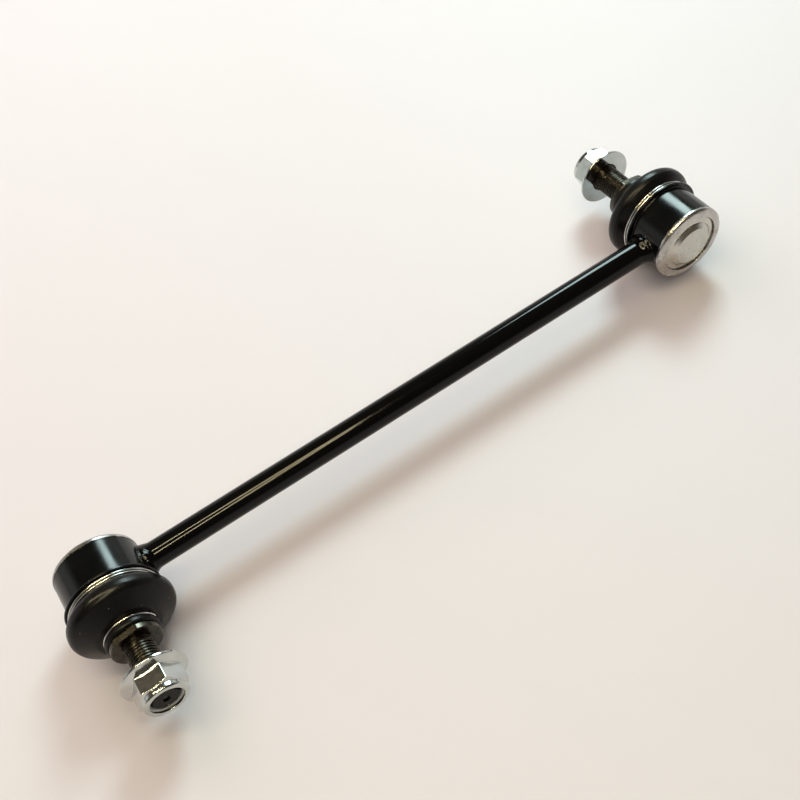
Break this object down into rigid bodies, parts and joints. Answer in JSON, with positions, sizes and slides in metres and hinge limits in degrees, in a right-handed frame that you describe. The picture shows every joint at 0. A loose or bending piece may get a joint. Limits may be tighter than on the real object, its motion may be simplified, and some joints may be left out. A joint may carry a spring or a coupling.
{
  "type": "stabilizer link",
  "caption": "Straight round steel rod with a booted ball joint welded to each end; the threaded studs point opposite ways and carry flange lock nuts.",
  "frame": {"origin": "middle of the rod, on the rod's axis", "axes": "+X along the rod from end a to end b; +Y is the way stud b points, and stud a points along -Y; +Z is square to both, up when the link lies on a table"},
  "size_m": [0.3224, 0.1148, 0.0424],
  "materials": {
    "rod_paint": "gloss black paint",
    "weld_paint": "gloss black paint over a rippled weld",
    "housing_paint": "semi-gloss black paint, bare on the rolled rim",
    "plate_steel": "bare bright",
    "ball_steel": "ground and polished",
    "seat_plastic": "moulded acetal",
    "boot_rubber": "satin",
    "ring_wire": "bright drawn wire",
    "stud_phosphate": "black phosphate, oiled",
    "nut_zinc": "bright zinc plate",
    "insert_nylon": "natural nylon"
  },
  "bodies": {
    "root": {"link_rod": "rod_paint", "weld_bead_a": "weld_paint", "housing_a": "housing_paint", "end_plate_a": "plate_steel", "ball_seat_a": "seat_plastic", "dust_boot_a": "boot_rubber", "base_ring_a": "ring_wire", "weld_bead_b": "weld_paint", "housing_b": "housing_paint", "end_plate_b": "plate_steel", "ball_seat_b": "seat_plastic", "dust_boot_b": "boot_rubber", "base_ring_b": "ring_wire"},
    "ball_body_a": {"ball_a": "ball_steel"},
    "neck_body_a": {"neck_ring_a": "ring_wire"},
    "stud_body_a": {"stud_a": "stud_phosphate"},
    "insert_body_a": {"nut_insert_a": "insert_nylon"},
    "nut_body_a": {"flange_nut_a": "nut_zinc"},
    "ball_body_b": {"ball_b": "ball_steel"},
    "neck_body_b": {"neck_ring_b": "ring_wire"},
    "stud_body_b": {"stud_b": "stud_phosphate"},
    "insert_body_b": {"nut_insert_b": "insert_nylon"},
    "nut_body_b": {"flange_nut_b": "nut_zinc"}
  },
  "joints": [
    {"name": "stud_lean_a", "type": "hinge", "parent": "root", "child": "ball_body_a", "pos_m": [-0.14, -0.0022, 0], "axis": [1, 0, 0], "range_deg": [-18, 18], "deforming": ["dust_boot_a"]},
    {"name": "stud_swing_a", "type": "hinge", "parent": "ball_body_a", "child": "neck_body_a", "pos_m": [-0.14, -0.0022, 0], "axis": [0, 0, 1], "range_deg": [-18, 18], "deforming": ["dust_boot_a"]},
    {"name": "stud_spin_a", "type": "hinge", "parent": "neck_body_a", "child": "stud_body_a", "pos_m": [-0.14, -0.0022, 0], "axis": [0, -1, 0], "continuous": true},
    {"name": "nut_travel_a", "type": "slide", "parent": "stud_body_a", "child": "insert_body_a", "axis": [0, -1, 0], "range_m": [-0.01356, 0.01113]},
    {"name": "nut_turn_a", "type": "hinge", "parent": "insert_body_a", "child": "nut_body_a", "pos_m": [-0.14, -0.0445, 0], "axis": [0, -1, 0], "range_deg": [-3900, 3200]},
    {"name": "stud_lean_b", "type": "hinge", "parent": "root", "child": "ball_body_b", "pos_m": [0.14, 0.0022, 0], "axis": [1, 0, 0], "range_deg": [-18, 18], "deforming": ["dust_boot_b"]},
    {"name": "stud_swing_b", "type": "hinge", "parent": "ball_body_b", "child": "neck_body_b", "pos_m": [0.14, 0.0022, 0], "axis": [0, 0, 1], "range_deg": [-18, 18], "deforming": ["dust_boot_b"]},
    {"name": "stud_spin_b", "type": "hinge", "parent": "neck_body_b", "child": "stud_body_b", "pos_m": [0.14, 0.0022, 0], "axis": [0, 1, 0], "continuous": true},
    {"name": "nut_travel_b", "type": "slide", "parent": "stud_body_b", "child": "insert_body_b", "axis": [0, 1, 0], "range_m": [-0.01516, 0.00953]},
    {"name": "nut_turn_b", "type": "hinge", "parent": "insert_body_b", "child": "nut_body_b", "pos_m": [0.14, 0.0461, 0], "axis": [0, 1, 0], "range_deg": [-4360, 2740]}
  ],
  "couplings": [
    {"joint": "nut_travel_a", "follows": "nut_turn_a", "m_per_rad": 0.00019894},
    {"joint": "nut_travel_b", "follows": "nut_turn_b", "m_per_rad": 0.00019894}
  ]
}
